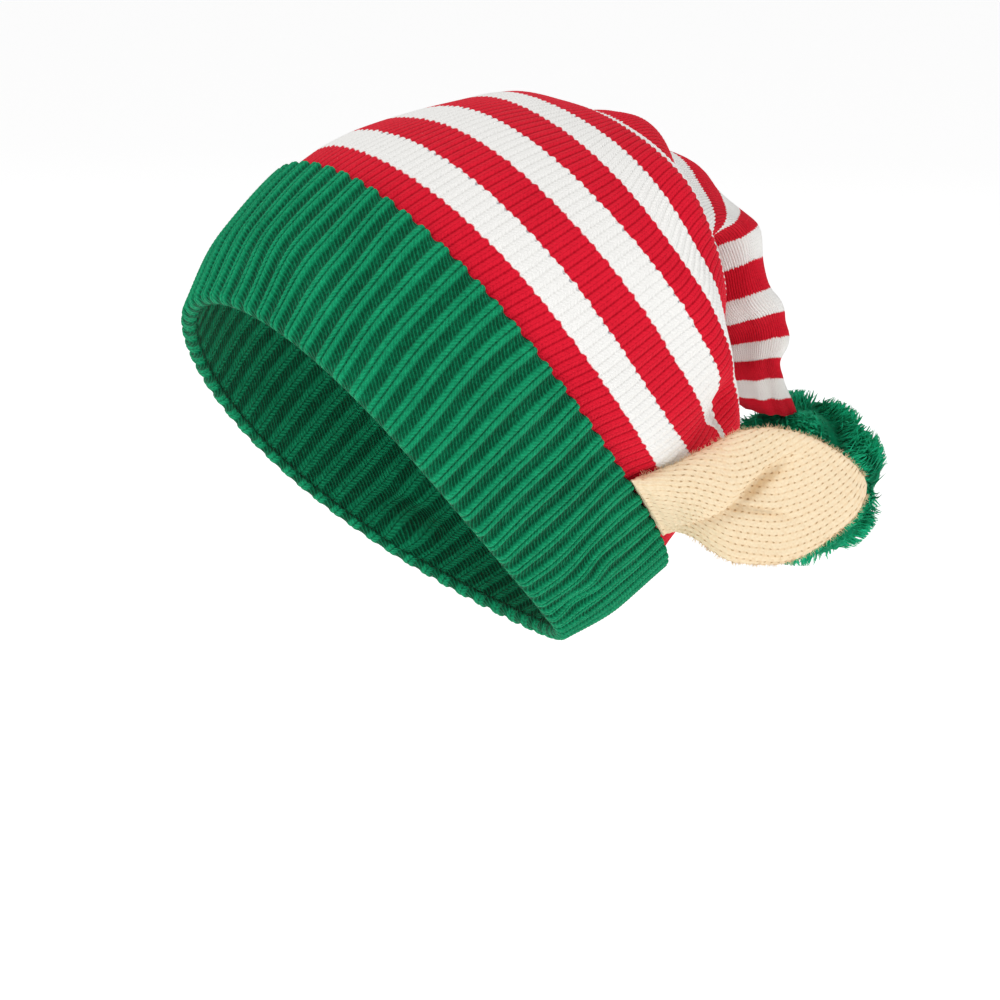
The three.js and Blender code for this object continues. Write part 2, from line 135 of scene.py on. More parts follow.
# Curves and surfaces
def column(rows, index, at):
    """Monotone cubic through one column of a table over its first column: at each row the slope is the
    harmonic mean of the two secants beside it, or 0 where they turn, and it runs straight past the ends."""
    x, y = rows[:, 0], rows[:, index]
    secant = np.diff(y) / np.diff(x)
    before, after = secant[:-1], secant[1:]
    product = before * after
    total = np.where(product > 0, before + after, 1.0)
    inner = np.where(product > 0, 2 * product / total, 0.0)
    slope = np.concatenate(([secant[0]], inner, [secant[-1]]))
    i = np.clip(np.searchsorted(x, at, side="left") - 1, 0, len(x) - 2)
    step = x[i + 1] - x[i]
    t = (at - x[i]) / step
    inside = np.clip(t, 0, 1)
    curve = (
        y[i] * (1 + 2 * inside) * (1 - inside) ** 2
        + y[i + 1] * inside**2 * (3 - 2 * inside)
        + slope[i] * step * inside * (1 - inside) ** 2
        - slope[i + 1] * step * inside**2 * (1 - inside)
    )
    return curve + secant[i] * step * (t - inside)


def smoothstep(t):
    """3 t squared minus 2 t cubed between 0 and 1, and level outside."""
    held = np.clip(t, 0, 1)
    return held * held * (3 - 2 * held)


def bell(offset, reach):
    """The bell curve exp(-(offset / reach) squared)."""
    return np.exp(-((offset / reach) ** 2))


def from_forehead(angle):
    """Degrees round from the forehead, the shorter way, from 0 to 180."""
    return np.abs((np.degrees(angle) + 540) % 360 - 180)


def form(stripe, angle, depth=0.0):
    """The knitted form. A row's middle lies at its back and up, an ellipse of half width and half depth
    leans round it, wider at the top by its egg, its sides sag towards the rim with sine squared, and
    depth and the dents shorten its reach."""
    value = {name: column(FORM_ROWS, k, stripe) for k, name in enumerate(FORM_COLUMNS) if k > 0}
    lean = np.radians(value["lean"])
    sine, cosine = np.sin(angle), np.cos(angle)
    sag = value["sag"] * CUFF_HEIGHT * sine**2
    x = value["width"] * HEAD_WIDTH / 2 * sine * (1 + value["egg"] * cosine)
    y = -value["depth"] * HEAD_DEPTH / 2 * cosine * np.cos(lean)
    z = value["depth"] * HEAD_DEPTH / 2 * cosine * np.sin(lean)
    around = from_forehead(angle)
    pressed = depth + sum(
        deep * CUFF_HEIGHT * bell(stripe - at, along) * bell(around - where, spread)
        for at, where, along, spread, deep in DENTS
    )
    length = np.sqrt(x**2 + y**2 + z**2)
    scale = (length - pressed) / length
    return np.stack(
        np.broadcast_arrays(
            value["swing"] * HEAD_WIDTH / 2 + x * scale,
            value["back"] * REACH - sag * np.sin(lean) + y * scale,
            value["up"] * RISE - sag * np.cos(lean) + z * scale,
        ),
        axis=-1,
    )


def even_angles(stripes, share):
    """The form's angle on each row where the share of the way round, by length of knit, is reached, so
    that ribs are evenly spaced. Each row's length is summed over a fine polygon."""
    fine = np.linspace(0, TAU, 2 * 360 + 1)
    points = form(stripes[:, None], fine[None, :])
    lengths = np.linalg.norm(np.diff(points, axis=1), axis=2)
    run = np.concatenate((np.zeros((len(stripes), 1)), np.cumsum(lengths, axis=1)), axis=1)
    run /= run[:, -1:]
    return np.stack([np.interp(share, row, fine) for row in run])


def unit(vectors):
    """Vectors of length 1, each divided by its own length."""
    return vectors / np.maximum(np.linalg.norm(vectors, axis=-1, keepdims=True), SMALL)


def normals(grid):
    """Unit normals of a grid that closes on itself round its rows, the cross product of its two central
    differences."""
    across = np.roll(grid, -1, axis=1) - np.roll(grid, 1, axis=1)
    return unit(np.cross(across, np.gradient(grid, axis=0)))


def outward(stripe, angle):
    """Unit normals of the form itself, from the cross product of its two slopes, by small steps."""
    step = 0.02
    across = form(stripe, angle + step) - form(stripe, angle - step)
    along = form(stripe + step, angle) - form(stripe - step, angle)
    return unit(np.cross(across, along))


def waves(seed, *phases):
    """A smooth irregular field between about -1 and 1: five sines of the phases, each at its own
    seeded pace and offset, added and divided by what they usually come to."""
    draw = np.random.default_rng(seed)
    slow, fast, sines, usual_sum = 0.5, 1.7, 5, 2.6
    total = 0.0
    for _ in range(sines):
        total = total + np.sin(
            sum(p * draw.uniform(slow, fast) * draw.choice((-1, 1)) for p in phases) + draw.uniform(0, TAU)
        )
    return total / usual_sum


# Meshes
def ring_marks(u_row, v):
    """Knit coordinates all round one ring, at one height v."""
    return np.stack((u_row, np.full(len(u_row), v)), axis=1)


class Skin:
    """A mesh under way: blocks of points, each with its knit coordinates, and faces of any size."""

    def __init__(self):
        self.points, self.count = [], 0
        self.faces, self.marks = [], []

    def block(self, points):
        """Adds points of any array shape and returns their numbers in the same shape."""
        flat = np.asarray(points, float).reshape(-1, 3)
        start = self.count
        self.points.append(flat)
        self.count += len(flat)
        return (start + np.arange(len(flat))).reshape(np.shape(points)[:-1])

    def add(self, faces, marks):
        """Adds faces as rows of point numbers, with a pair of knit coordinates at each corner."""
        self.faces.append(np.asarray(faces))
        self.marks.append(np.asarray(marks, float))

    def quads(self, ids, u, v):
        """Joins a grid of points with quads, closed round its rows, with one more column in u and v."""
        ids = np.concatenate((ids, ids[:, :1]), axis=1)
        uv = np.stack(np.broadcast_arrays(u, v), axis=-1)
        corners = ((0, 0), (0, 1), (1, 1), (1, 0))
        rows, cols = ids.shape[0] - 1, ids.shape[1] - 1

        def cell(grid):
            parts = [grid[a : a + rows, b : b + cols] for a, b in corners]
            return np.stack(parts, axis=2).reshape((rows * cols, 4) + grid.shape[2:])

        self.add(cell(ids), cell(uv))

    def thin_out(self, fine, coarse, fine_uv, coarse_uv, before=True):
        """One band of faces between a fine ring and a ring with a whole share of its points."""
        per = len(fine) // len(coarse)
        cells = np.arange(len(coarse))
        index = cells[:, None] * per + np.arange(per + 1)
        upper = fine[index % len(fine)]
        lower = coarse[np.stack((cells, cells + 1), axis=1) % len(coarse)]
        upper_uv, lower_uv = fine_uv[index], coarse_uv[np.stack((cells, cells + 1), axis=1)]
        if before:
            faces = np.concatenate((upper, lower[:, ::-1]), axis=1)
            marks = np.concatenate((upper_uv, lower_uv[:, ::-1]), axis=1)
        else:
            faces = np.concatenate((lower, upper[:, ::-1]), axis=1)
            marks = np.concatenate((lower_uv, upper_uv[:, ::-1]), axis=1)
        self.add(faces, marks)

    def middle(self, ring):
        """The mean of the points of a ring."""
        return np.concatenate(self.points)[ring].mean(axis=0)

    def fan(self, ring, tip, marks, tip_marks, flip=False):
        """Closes a ring with triangles to a new point at its tip; marks holds one more row than it."""
        top = self.block(tip[None, :])[0]
        faces = np.stack((ring, np.roll(ring, -1), np.full(len(ring), top)), axis=1)
        corners = np.stack((marks[:-1], marks[1:], tip_marks), axis=1)
        turned = slice(None, None, -1 if flip else 1)
        self.add(faces[:, turned], corners[:, turned])

    def piece(self, name, material, slot, *nodes):
        """Makes the Blender object, smooth, riding on the hat's one body."""
        mesh = bpy.data.meshes.new(name)
        points = np.concatenate(self.points) * MM
        sizes = np.concatenate([np.full(len(f), f.shape[1]) for f in self.faces])
        corners = np.concatenate([f.ravel() for f in self.faces])
        marks = np.concatenate([m.reshape(-1, 2) for m in self.marks])
        mesh.vertices.add(len(points))
        mesh.vertices.foreach_set("co", points.astype(np.float32).ravel())
        mesh.loops.add(len(corners))
        mesh.loops.foreach_set("vertex_index", corners.astype(np.int32))
        mesh.polygons.add(len(sizes))
        starts = np.concatenate(([0], np.cumsum(sizes)[:-1]))
        mesh.polygons.foreach_set("loop_start", starts.astype(np.int32))
        mesh.polygons.foreach_set("use_smooth", np.ones(len(sizes), bool))
        layer = mesh.uv_layers.new(name="knit")
        layer.data.foreach_set("uv", marks.astype(np.float32).ravel())
        mesh.update(calc_edges=True)
        mesh.validate()
        piece = bpy.data.objects.new(name, mesh)
        bpy.context.scene.collection.objects.link(piece)
        mesh.materials.append(material)
        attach(piece, "root")
        if nodes:
            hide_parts(*nodes)
        return piece


# Materials
class Sock:
    """An output socket on which Python's operators add Math nodes."""

    def __init__(self, tree, out):
        self.tree, self.out = tree, out

    def _math(self, operation, *values):
        node = self.tree.nodes.new("ShaderNodeMath")
        node.operation = operation
        for socket, value in zip(node.inputs, values):
            if isinstance(value, Sock):
                self.tree.links.new(value.out, socket)
            else:
                socket.default_value = value
        return Sock(self.tree, node.outputs[0])

    def __add__(self, other): return self._math("ADD", self, other)
    def __radd__(self, other): return self._math("ADD", other, self)
    def __sub__(self, other): return self._math("SUBTRACT", self, other)
    def __rsub__(self, other): return self._math("SUBTRACT", other, self)
    def __mul__(self, other): return self._math("MULTIPLY", self, other)
    def __rmul__(self, other): return self._math("MULTIPLY", other, self)
    def __truediv__(self, other): return self._math("DIVIDE", self, other)
    def fract(self): return self._math("FRACT", self)
    def floor(self): return self._math("FLOOR", self)
    def size(self): return self._math("ABSOLUTE", self)
    def sine(self): return self._math("SINE", self)
    def most(self, other): return self._math("MAXIMUM", self, other)
    def least(self, other): return self._math("MINIMUM", self, other)

    def ramp(self, low, high):
        """0 at low and 1 at high, smooth between."""
        node = self.tree.nodes.new("ShaderNodeMapRange")
        node.interpolation_type = "SMOOTHSTEP"
        node.inputs["From Min"].default_value = low
        node.inputs["From Max"].default_value = high
        self.tree.links.new(self.out, node.inputs["Value"])
        return Sock(self.tree, node.outputs["Result"])


class Finish:
    """A material's tree: any node by its type, its settings, and the values or links of its sockets."""

    def __init__(self, name, **shader):
        self.material = bpy.data.materials.new(name)
        self.material.use_nodes = True
        self.tree = self.material.node_tree
        self.shader = self.tree.nodes["Principled BSDF"]
        for key, value in shader.items():
            self.shader.inputs[key.replace("_", " ")].default_value = value

    def node(self, kind, settings=None, **sockets):
        node = self.tree.nodes.new(kind)
        for key, value in (settings or {}).items():
            setattr(node, key, value)
        for key, value in sockets.items():
            self.set(node.inputs[key.replace("_", " ")], value)
        return node

    def set(self, socket, value):
        if isinstance(value, Sock):
            self.tree.links.new(value.out, socket)
        elif isinstance(value, bpy.types.NodeSocket):
            self.tree.links.new(value, socket)
        else:
            socket.default_value = value

    def knit(self):
        """The piece's own knit coordinates: ribs or wales round it, and courses or stripes along it."""
        uv = self.node("ShaderNodeUVMap", {"uv_map": "knit"})
        split = self.node("ShaderNodeSeparateXYZ", Vector=uv.outputs["UV"])
        return Sock(self.tree, split.outputs["X"]), Sock(self.tree, split.outputs["Y"])

    def noise(self, scale, detail=2.0, roughness=0.5):
        """Noise over the object's own place, with scale waves to the metre."""
        place = self.node("ShaderNodeTexCoord").outputs["Object"]
        made = self.node("ShaderNodeTexNoise", Vector=place, Scale=scale, Detail=detail, Roughness=roughness)
        return Sock(self.tree, made.outputs["Fac"])

    def mix(self, share, low, high):
        """A colour between two colours."""
        made = self.node("ShaderNodeMix", {"data_type": "RGBA"})
        self.set(made.inputs[0], share)
        self.set(made.inputs[6], low if not isinstance(low, tuple) else low + (1.0,))
        self.set(made.inputs[7], high if not isinstance(high, tuple) else high + (1.0,))
        return made.outputs[2]

    def done(self, colour, height, distance):
        """Links the colour and the relief, whose height of 1 stands distance millimetres tall."""
        self.set(self.shader.inputs["Base Color"], colour)
        bump = self.node("ShaderNodeBump", Strength=1.0, Distance=distance * MM, Height=height)
        self.set(self.shader.inputs["Normal"], bump.outputs["Normal"])
        return self.material


FIBRES = (1100, 3, 0.75)  # noise of single fibres: waves to the metre, detail and roughness
FUZZ = (420, 3, 0.65)  # noise of small tufts of fibres
YARN_SHADER = {"Roughness": 0.95, "Specular_IOR_Level": 0.12, "Sheen_Weight": 0.04, "Sheen_Roughness": 0.5}


def green_rib_finish():
    """Two light wales side by side with a dark line between them, dark purl loops in the valleys: the line
    and the valleys are darkened and the crests lightened as painted shade and light.
    """
    f = Finish("green_rib_knit", **YARN_SHADER)
    u, v = f.knit()
    fibre = f.noise(*FIBRES)
    fuzz = f.noise(*FUZZ)
    patch = f.noise(55, 2)
    wobble = (f.noise(130, 2) - 0.5) * 0.55
    away = (u.fract() - 0.5).size()
    rib = 1 - (away + (fuzz - 0.5) * 0.09).ramp(0.19, 0.33)
    groove = 1 - (away + (fibre - 0.5) * 0.03).ramp(0.0, 0.06)
    leg = ((v + away * 4.2 + wobble * 0.5).fract() - 0.5).size() * 2
    loops = ((v + u * 3.6 + wobble).fract() - 0.5).size() * 2
    strand = loops.ramp(0.3, 0.9) * (1 - rib)
    # light: painted light and shade (crests lighter, the groove and the valleys darker) plus random fibre,
    # fuzz and patch tone
    light = (
        rib * (0.58 + leg * 0.3)
        - groove * 0.45 * rib
        + strand * 0.46
        + (fibre - 0.5) * 0.95
        + (fuzz - 0.5) * 0.8
        + (patch - 0.5) * 0.35
    )
    # The darkest greens are painted shade in the groove and the valleys
    low = f.mix(light.ramp(-0.15, 0.45), (0.0, 0.062, 0.024), (0.001, 0.185, 0.078))
    colour = f.mix(light.ramp(0.3, 1.15), low, (0.009, 0.40, 0.175))
    height = rib * leg * 0.5 + strand * 0.7 + fibre * 0.6 + fuzz * 0.5 - groove * 0.4
    return f.done(colour, height, 0.55)


COURSES_PER_STRIPE = 9


def striped_finish():
    """Red and white stripes that change on the stitch, fine ribs with dark lines between them: the valleys,
    the crest lines and the gaps between courses are darkened as painted shade, and small grey dots of painted
    shadow lie on the white where each red stripe begins.
    """
    f = Finish("striped_knit", **YARN_SHADER)
    u, v = f.knit()
    fibre = f.noise(*FIBRES)
    fuzz = f.noise(*FUZZ)
    patch = f.noise(40, 2)
    away = (u.fract() - 0.5).size() * 2
    teeth = (u * TAU * 0.5).sine() * 0.012 + (fuzz - 0.5) * 0.1
    inset = 0.15  # keeps the first and the last stripe from turning at the very edge
    along = v.least(TIP_AT - inset).most(CUFF_TOP + inset) - CUFF_TOP + away * 0.03 + teeth
    turn = (along * 0.5).fract()
    red = 1 - turn.ramp(0.488, 0.512) + turn.ramp(0.985, 1.0)
    stitch = (v * COURSES_PER_STRIPE + away * 0.9 + (fuzz - 0.5) * 0.5).fract()
    leg = 1 - (stitch - 0.5).size() * 2
    # valley: mask of the rib valleys and the crest line, where painted shade darkens the colour
    valley = away.ramp(0.62, 1.0) + (1 - away.ramp(0.0, 0.2)) * 0.45
    uneven = (0.5 - fibre) * 0.7 + (0.5 - fuzz) * 0.4 + (0.5 - patch) * 0.25
    # shade: painted shade in the valleys and between courses, plus random fibre, fuzz and patch tone
    shade = valley * 0.5 + (1 - leg) * 0.16 + uneven
    # Painted shadow specks: small grey dots on the white where a red stripe begins, the shade of its purl
    # bumps
    shadow_specks = turn.ramp(0.955, 0.985) * (1 - red) * away.ramp(0.35, 0.75) * fuzz.ramp(0.45, 0.6)
    reds = f.mix(shade.ramp(-0.15, 0.8), (0.80, 0.011, 0.034), (0.42, 0.0, 0.010))
    whites = f.mix(shade.ramp(0.1, 1.3), (0.94, 0.93, 0.905), (0.70, 0.69, 0.66))
    colour = f.mix(red, f.mix(shadow_specks, whites, (0.36, 0.36, 0.40)), reds)
    height = leg * 0.4 + fibre * 0.5 + fuzz * 0.4 - valley * 0.3
    return f.done(colour, height, 0.4)


def beige_finish():
    """Plain knit in soft beige: rows of small dark holes between the loops, their darkness painted shade like
    that of the lines between the wales, and a fine pile.
    """
    f = Finish("beige_knit", **YARN_SHADER)
    u, v = f.knit()
    fibre = f.noise(*FIBRES)
    fuzz = f.noise(380, 3, 0.65)
    patch = f.noise(60, 2)
    bent = u + (fuzz - 0.5) * 0.5 + v * 0.12
    across = (bent.fract() - 0.5).size() * 2
    along = (v + bent.floor() * 0.5 + (fuzz - 0.5) * 0.4 + across * 0.3).fract()
    short = 1 - (along - 0.5).size().ramp(0.05, 0.27)
    hole = (1 - across.ramp(0.0, 0.4)) * short * patch.ramp(0.2, 0.5)
    leg = (along - 0.5).size() * 2
    uneven = (0.5 - fibre) * 0.6 + (0.5 - fuzz) * 0.35
    # shade: painted shade in the holes, between the wales and between courses, plus random fibre and fuzz
    # tone
    shade = hole * 0.85 + (1 - across.ramp(0.0, 0.5)) * 0.2 + leg * 0.14 + uneven
    pale = f.mix(shade.ramp(-0.15, 0.5), (0.97, 0.81, 0.57), (0.87, 0.65, 0.40))
    colour = f.mix(shade.ramp(0.42, 0.95), pale, (0.56, 0.36, 0.19))
    height = (1 - hole) * 0.6 + fibre * 0.6 + fuzz * 0.4 - leg * 0.3
    return f.done(colour, height, 0.45)


def yarn_finish():
    """Loose green yarn, lighter at its ends and darker towards its roots and between the tufts as painted
    light and shade, with fine lengthwise fibres.
    """
    f = Finish("green_yarn", **YARN_SHADER)
    u, v = f.knit()
    fibre = f.noise(700, 3, 0.7)
    patch = f.noise(70, 2)
    uneven = (fibre - 0.5) * 0.5 + (patch - 0.5) * 0.7 + ((u * 7).fract() - 0.5) * 0.3
    # light: painted light and shade from v (dark at roots and between tufts, light at the ends and tuft
    # middles) plus random tone
    light = v.ramp(0.15, 1.0) * 0.75 + uneven
    colour = f.mix(light.ramp(-0.15, 0.8), (0.0, 0.17, 0.075), (0.010, 0.52, 0.25))
    return f.done(colour, fibre, 0.3)


# The cuff
RIB_HIGH = 1.7  # crest of a rib above its valley
# Half of one rib period: the place, from the middle of a valley to the line between its two wales, and
# the height there as a share of RIB_HIGH. The other half mirrors it.
RIB_HALF = np.array([
    (0.0, 0.0),
    (0.09, 0.03),
    (0.17, 0.14),
    (0.235, 0.52),
    (0.3, 0.88),
    (0.365, 1.0),
    (0.43, 0.93),
    (0.472, 0.72),
    (0.5, 0.55),
])
RIB_PLACES = np.concatenate((RIB_HALF[:, 0], 1 - RIB_HALF[-2:0:-1, 0]))
RIB_SHAPE = np.concatenate((RIB_HALF[:, 1], RIB_HALF[-2:0:-1, 1]))
RIB_SHARE = (np.arange(RIB_COUNT)[:, None] + RIB_PLACES).ravel() / RIB_COUNT
RIB_RELIEF = np.tile(RIB_SHAPE, RIB_COUNT)
WALE_AT = np.abs(np.tile(RIB_PLACES, RIB_COUNT) - 0.5)
CUFF_COURSES = 38
COURSE_TALL = CUFF_HEIGHT / CUFF_COURSES
CUFF_FOLD = CUFF_THICKNESS / 2  # radius of the fold at the rim
FOLD_STEPS = 8
OUTSIDE_ROWS = 2 * CUFF_COURSES - 6
INSIDE_ROWS = 34
INSIDE_EVERY = 4  # the inside has every fourth point of the outside


def cuff_outside(skin):
    """The fold at the rim as a half circle, then two rows to a course up the outside. Relief stands on
    the form's normals, the rows bend into the V of each stitch, and a slight buckle bends the ribs."""
    turns = np.linspace(-0.5, 0.5, FOLD_STEPS + 1)[:-1] * math.pi
    rise = np.linspace(CUFF_FOLD, CUFF_HEIGHT - 1.0, OUTSIDE_ROWS)
    level = np.zeros(OUTSIDE_ROWS)
    length = np.concatenate((CUFF_FOLD * (1 - np.cos(turns)), rise, [CUFF_HEIGHT - 0.35, CUFF_HEIGHT]))
    inward = np.concatenate((CUFF_FOLD * (1 - np.sin(turns)), level, [0.5, 1.6]))
    edge = CUFF_HEIGHT - CUFF_FOLD
    course = np.concatenate((-CUFF_FOLD * (0.5 * math.pi - turns), rise - CUFF_FOLD, [edge, edge + 0.5]))
    course = course / COURSE_TALL

    v_bend = np.where(WALE_AT < 0.235, (0.25 - WALE_AT * 2) * 0.9, 0.0) * COURSE_TALL
    fade = smoothstep((length - 2) / 8) * smoothstep((CUFF_HEIGHT - length) / 6)
    ends = smoothstep((length - CUFF_HEIGHT + 4) / 4)[:, None] * (RIB_RELIEF[None, :] - 0.6) * 1.3
    stripes = (length[:, None] + fade[:, None] * v_bend[None, :] + ends) / STRIPE_HEIGHT
    angles = even_angles(length / STRIPE_HEIGHT, RIB_SHARE)
    wander = waves(3, RIB_SHARE[None, :] * TAU * 9, length[:, None] / 12) * 0.0055
    near_ear = bell(from_forehead(angles) - 124, 17) * bell(length[:, None] - 22, 24)
    buckle = near_ear * np.sin(length[:, None] / 9 + 0.6) * 0.024
    wander = wander + buckle * np.where(angles > math.pi, -1, 1)
    base = form(stripes, angles + wander)
    out = outward(stripes, angles + wander)
    beads = np.where(np.arange(len(length)) % 2 == 0, 1.0, -1.0)[:, None]
    on_rib = (RIB_RELIEF > 0.4)[None, :]
    grain = beads * np.where(on_rib, 0.1, 0.26) * fade[:, None]
    uneven = 1 + 0.12 * waves(5, RIB_SHARE[None, :] * TAU * 21, length[:, None] / 9)
    opening = smoothstep((turns / math.pi + 0.5) * 1.3) * 0.5 + 0.5
    full = np.concatenate((opening, level + 1, [0.9, 0.4]))
    relief = (RIB_RELIEF[None, :] - 1) * RIB_HIGH * uneven * full[:, None] + grain
    ids = skin.block(base + out * (relief - inward[:, None])[..., None])
    u = np.concatenate((RIB_SHARE * RIB_COUNT, [RIB_COUNT]))
    skin.quads(ids, u[None, :], course[:, None])
    return ids, u, course


def cuff_inside(skin):
    """Thin behind the lip, down to the seam and on down the inside, with the ribs turned inwards."""
    share = RIB_SHARE[::INSIDE_EVERY]
    seam = CUFF_HEIGHT - LIP_LENGTH
    down = np.linspace(seam - 1.2, CUFF_FOLD, INSIDE_ROWS)
    length = np.concatenate(([CUFF_HEIGHT - 0.6, seam, seam], down))
    inward = np.concatenate(([LIP_THICKNESS, LIP_THICKNESS, CUFF_THICKNESS - 0.8], CUFF_THICKNESS + 0 * down))
    stripes = length[:, None] / STRIPE_HEIGHT
    angles = even_angles(length / STRIPE_HEIGHT, share)
    knit = np.concatenate(([0, 0, 0], np.ones(INSIDE_ROWS)))[:, None]
    beads = np.where(np.arange(len(length)) % 2 == 0, 0.12, -0.12)[:, None]
    relief = ((1 - RIB_RELIEF[None, ::INSIDE_EVERY]) * 0.55 * RIB_HIGH - 0.5 + beads) * knit
    points = form(stripes, angles) - outward(stripes, angles) * (inward[:, None] + relief)[..., None]
    ids = skin.block(points)
    u = np.concatenate((share * RIB_COUNT, [RIB_COUNT])) + 0.5
    v = -length / COURSE_TALL
    skin.quads(ids, u[None, :], v[:, None])
    return ids, u, v


def cuff_piece(material):
    """The turned-up band as one closed skin: its outside from the rim's fold to the free edge, and its
    inside, joined at both ends."""
    skin = Skin()
    ids, u, v = cuff_outside(skin)
    back_ids, back_u, back_v = cuff_inside(skin)
    skin.thin_out(ids[-1], back_ids[0], ring_marks(u, v[-1]), ring_marks(back_u, back_v[0]))
    skin.thin_out(ids[0], back_ids[-1], ring_marks(u, v[0]), ring_marks(back_u, back_v[-1]), before=False)
    return skin.piece("cuff_rib_knit", material, "green_rib_knit", "cuff")


# The crown
CROWN_RIBS = 158
CROWN_RIB_HIGH = 0.5
CROWN_PLACES = np.array((0.0, 0.27, 0.5, 0.73))  # within one rib period, from a valley
CROWN_SHAPE = np.array((0.0, 0.78, 1.0, 0.78))  # height there, as a share of CROWN_RIB_HIGH
TAIL_FROM = 12.6  # stripe at which the rows get closer
HEAD_ROWS, TAIL_ROWS = 62, 76
INSIDE_TAIL_ROWS, INSIDE_HEAD_ROWS = 26, 20


def under_lip(stripe):
    """How deep the crown lies: below the lip first, then smoothly out to the form's surface."""
    return (LIP_THICKNESS + CLEARANCE) * (1 - smoothstep((stripe - CUFF_TOP) * STRIPE_HEIGHT / EDGE_BLEND))


# Soft folds: stripe, degrees from the forehead, half lengths in stripes and degrees, height in mm
CROWN_FOLDS = (
    (10.95, 38, 0.5, 30, 2.3),
    (11.85, 36, 0.42, 34, -5.6),
    (12.8, 12, 0.45, 24, 3.2),
    (13.75, 18, 0.35, 26, -2.0),
    (14.75, 16, 0.5, 28, 3.0),
    (5.4, 158, 1.0, 30, -6.0),
    (17.3, 60, 0.5, 60, 1.2),
    (18.3, 90, 0.45, 50, -1.6),
    (19.6, 70, 0.5, 60, 1.6),
    (20.6, 90, 0.4, 50, -1.2),
    (21.6, 70, 0.5, 60, 1.2),
    (7.0, 88, 1.3, 7, -1.2),
    (9.6, 80, 1.4, 8, 1.2),
)
TUCK_AT = 7.7  # stripe of the tuck above each ear
TUCK_FROM, TUCK_TO = 112, 145  # degrees from the forehead
TUCK_DEEP, TUCK_REACH, TUCK_PULL = 10, 14.5, 0.8


def folded(points, out, stripe, angle):
    """The form with its soft folds: bell-shaped swellings and creases along the normals, then each side
    drawn towards the bottom line of its tuck by a share that falls off as a bell with the distance."""
    around = from_forehead(angle)
    height = sum(
        tall * bell(stripe - at, along) * bell(around - where, spread)
        for at, where, along, spread, tall in CROWN_FOLDS
    )
    unevenness = waves(17, stripe * 0.9, np.cos(angle) * 6, np.sin(angle) * 6)
    height = height + 0.45 * unevenness
    moved = points + out * height[..., None]
    tuck = np.radians(np.clip(around, TUCK_FROM, TUCK_TO))
    tuck = np.where(angle > math.pi, TAU - tuck, tuck)
    to = form(TUCK_AT, tuck) - outward(TUCK_AT, tuck) * TUCK_DEEP - moved
    return moved + to * (TUCK_PULL * bell(np.linalg.norm(to, axis=-1), TUCK_REACH))[..., None]


def tucked(stripe, angle):
    """The knit's stripe at a place: in the tucks a white stripe goes into the pleat, so the stripes on
    both sides of it come together. It is pushed away from the pleat by 0.45 (1 - exp(-distance / 0.08)),
    fading out 1.3 stripes away. At the ridge on top, a bell-shaped push narrows the red stripe."""
    around = from_forehead(angle)
    off = stripe - TUCK_AT
    pushed = 0.45 * (1 - np.exp(-np.abs(off) / 0.08)) * np.clip(1 - np.abs(off) / 1.3, 0, 1)
    share = smoothstep((around - TUCK_FROM + 1) / 7) * smoothstep((172 - around) / 25)
    ridge = 0.38 * bell(stripe - 11.25, 0.6) * bell(around - 30, 17)
    return stripe + np.sign(off) * pushed * share + ridge


def crown_piece(material):
    """The striped tube as one closed skin, fine ribs on its outside, plain and coarser inside, both
    drawn together at the tip."""
    skin = Skin()
    share = (np.arange(CROWN_RIBS)[:, None] + CROWN_PLACES).ravel() / CROWN_RIBS
    shape = np.tile(CROWN_SHAPE, CROWN_RIBS)
    seam = SEAM_AT + CLEARANCE / STRIPE_HEIGHT
    head = np.linspace(4.08, TAIL_FROM, HEAD_ROWS)
    tail = np.linspace(TAIL_FROM, TIP_AT, TAIL_ROWS)[1:]
    rows = np.concatenate(([seam, 3.8], head, tail))
    angles = even_angles(rows, share)
    base = form(rows[:, None], angles)
    out = outward(rows[:, None], angles)
    uneven = 1 + 0.15 * waves(11, share[None, :] * TAU * 40, rows[:, None] * 0.8)
    relief = (shape[None, :] - 1) * CROWN_RIB_HIGH * uneven - under_lip(rows)[:, None]
    ids = skin.block(folded(base + out * relief[..., None], out, rows[:, None], angles))
    u = np.concatenate((share * CROWN_RIBS, [CROWN_RIBS]))
    skin.quads(ids, u[None, :], tucked(rows[:, None], np.concatenate((angles, angles[:, :1]), axis=1)))

    few_share = share[::len(CROWN_PLACES)]
    back_tail = np.linspace(TIP_AT - 0.2, TAIL_FROM, INSIDE_TAIL_ROWS)
    back_rows = np.concatenate((back_tail, np.linspace(12.2, seam, INSIDE_HEAD_ROWS)))
    back_angles = even_angles(back_rows, few_share)
    back_base = form(back_rows[:, None], back_angles)
    back_out = outward(back_rows[:, None], back_angles)
    back = back_base - back_out * (under_lip(back_rows)[:, None] + CROWN_WALL)[..., None]
    back_ids = skin.block(folded(back, back_out, back_rows[:, None], back_angles))
    few_u = np.concatenate((few_share * CROWN_RIBS, [CROWN_RIBS]))
    skin.quads(back_ids, few_u[None, :], back_rows[:, None])

    seam_marks = ring_marks(u, rows[0]), ring_marks(few_u, back_rows[-1])
    skin.thin_out(ids[0], back_ids[-1], *seam_marks, before=False)
    last = form(np.array(TIP_AT), np.array(0.0)) - form(np.array(TIP_AT - 0.5), np.array(0.0))
    for ring, ring_u, beyond, flip in ((ids[-1], u, TIP_CLOSE, False), (back_ids[0], few_u, -1.0, True)):
        tip = skin.middle(ring) + unit(last) * beyond
        tip_marks = ring_marks(ring_u[:-1], TIP_AT + 0.1)
        skin.fan(ring, tip, ring_marks(ring_u, TIP_AT), tip_marks, flip)
    return skin.piece("crown_striped_knit", material, "striped_knit", "crown")


